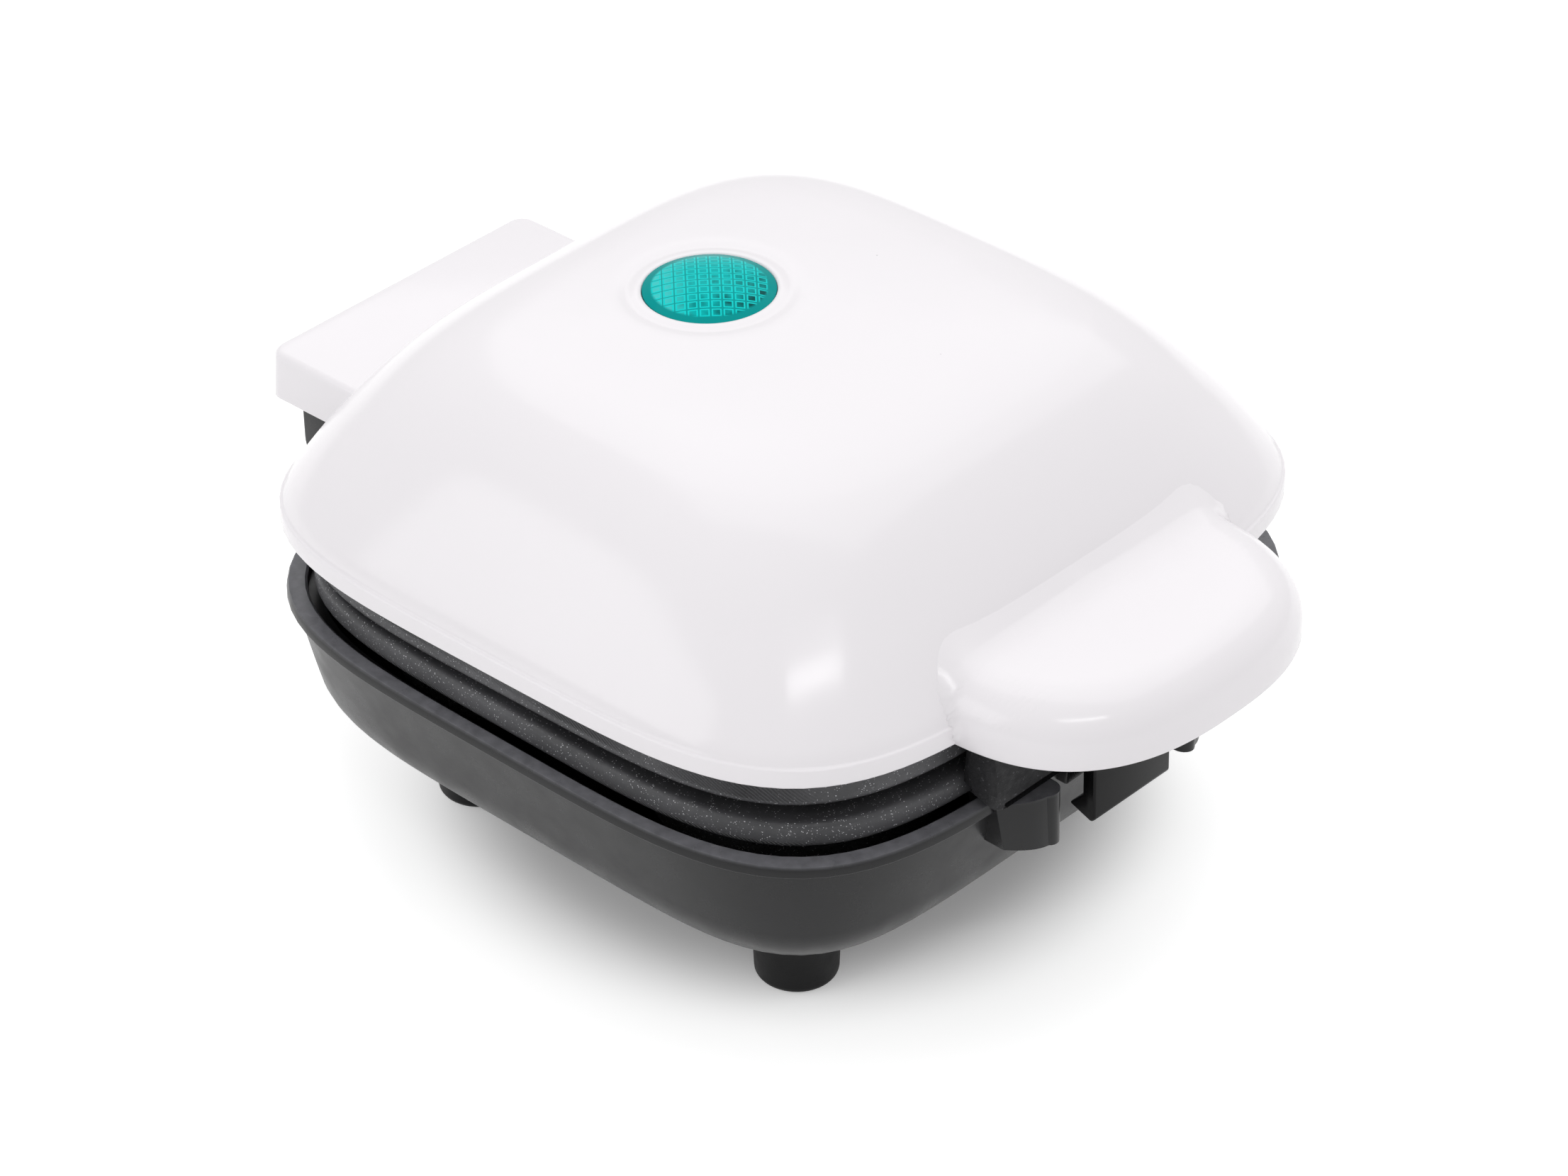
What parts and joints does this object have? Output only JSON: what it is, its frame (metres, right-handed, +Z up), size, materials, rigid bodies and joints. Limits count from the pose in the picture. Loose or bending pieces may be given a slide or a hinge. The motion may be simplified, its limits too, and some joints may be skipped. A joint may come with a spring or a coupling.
{
  "type": "egg bite maker",
  "caption": "Countertop egg bite maker: white domed lid with handle and round indicator, hinged over two cup plates in a black bowl base.",
  "frame": {"origin": "on the ground, under the middle of the whole appliance with its lid at rest", "axes": "+Z up, the handle at the front faces -Y, the hinge is at +Y, X across"},
  "size_m": [0.15, 0.2028, 0.101],
  "materials": {
    "white_plastic": "glossy",
    "black_plastic": "satin",
    "rough_black_plastic": "rough speckled",
    "black_rubber": "satin",
    "nonstick": "nonstick coating with fine flecks",
    "aluminium_sheet": "bright sheet",
    "heater_sheath": "dark oxidised",
    "steel": "zinc plated",
    "teal_lens": "glossy moulded grid",
    "ceramic": "matt ceramic",
    "lamp_glass": "clear"
  },
  "bodies": {
    "base": {"base_shell": "black_plastic", "lower_plate": "nonstick", "lower_heater": "heater_sheath", "lower_reflector": "aluminium_sheet", "lower_thermostat": "ceramic", "terminal_block": "ceramic", "cord_gland": "black_rubber", "hinge_pin": "steel", "foot_front_left": "black_rubber", "foot_front_right": "black_rubber", "foot_rear_left": "black_rubber", "foot_rear_right": "black_rubber", "lower_plate_screw_right": "steel", "lower_plate_screw_rear": "steel", "lower_plate_screw_left": "steel", "lower_plate_screw_front": "steel"},
    "lid": {"lid_shell": "white_plastic", "handle_insert": "rough_black_plastic", "hinge_bracket": "black_plastic", "upper_plate": "nonstick", "upper_heater": "heater_sheath", "upper_reflector": "aluminium_sheet", "upper_thermostat": "ceramic", "thermal_fuse": "ceramic", "indicator_lens": "teal_lens", "lens_retainer": "black_plastic", "lamp_holder": "ceramic", "indicator_lamp": "lamp_glass", "latch_pin": "steel", "upper_plate_screw_right": "steel", "upper_plate_screw_rear": "steel", "upper_plate_screw_left": "steel", "upper_plate_screw_front": "steel", "handle_screw_left": "steel", "handle_screw_right": "steel", "hinge_screw_left": "steel", "hinge_screw_right": "steel"},
    "latch": {"latch_clip": "black_plastic"}
  },
  "joints": [
    {"name": "lid_hinge", "type": "hinge", "parent": "base", "child": "lid", "pos_m": [0, 0.08783, 0.05], "axis": [-1, 0, 0], "range_deg": [0, 95]},
    {"name": "latch_pivot", "type": "hinge", "parent": "lid", "child": "latch", "pos_m": [0, -0.07998, 0.06082], "axis": [-1, 0, 0], "range_deg": [-6, 50]}
  ]
}
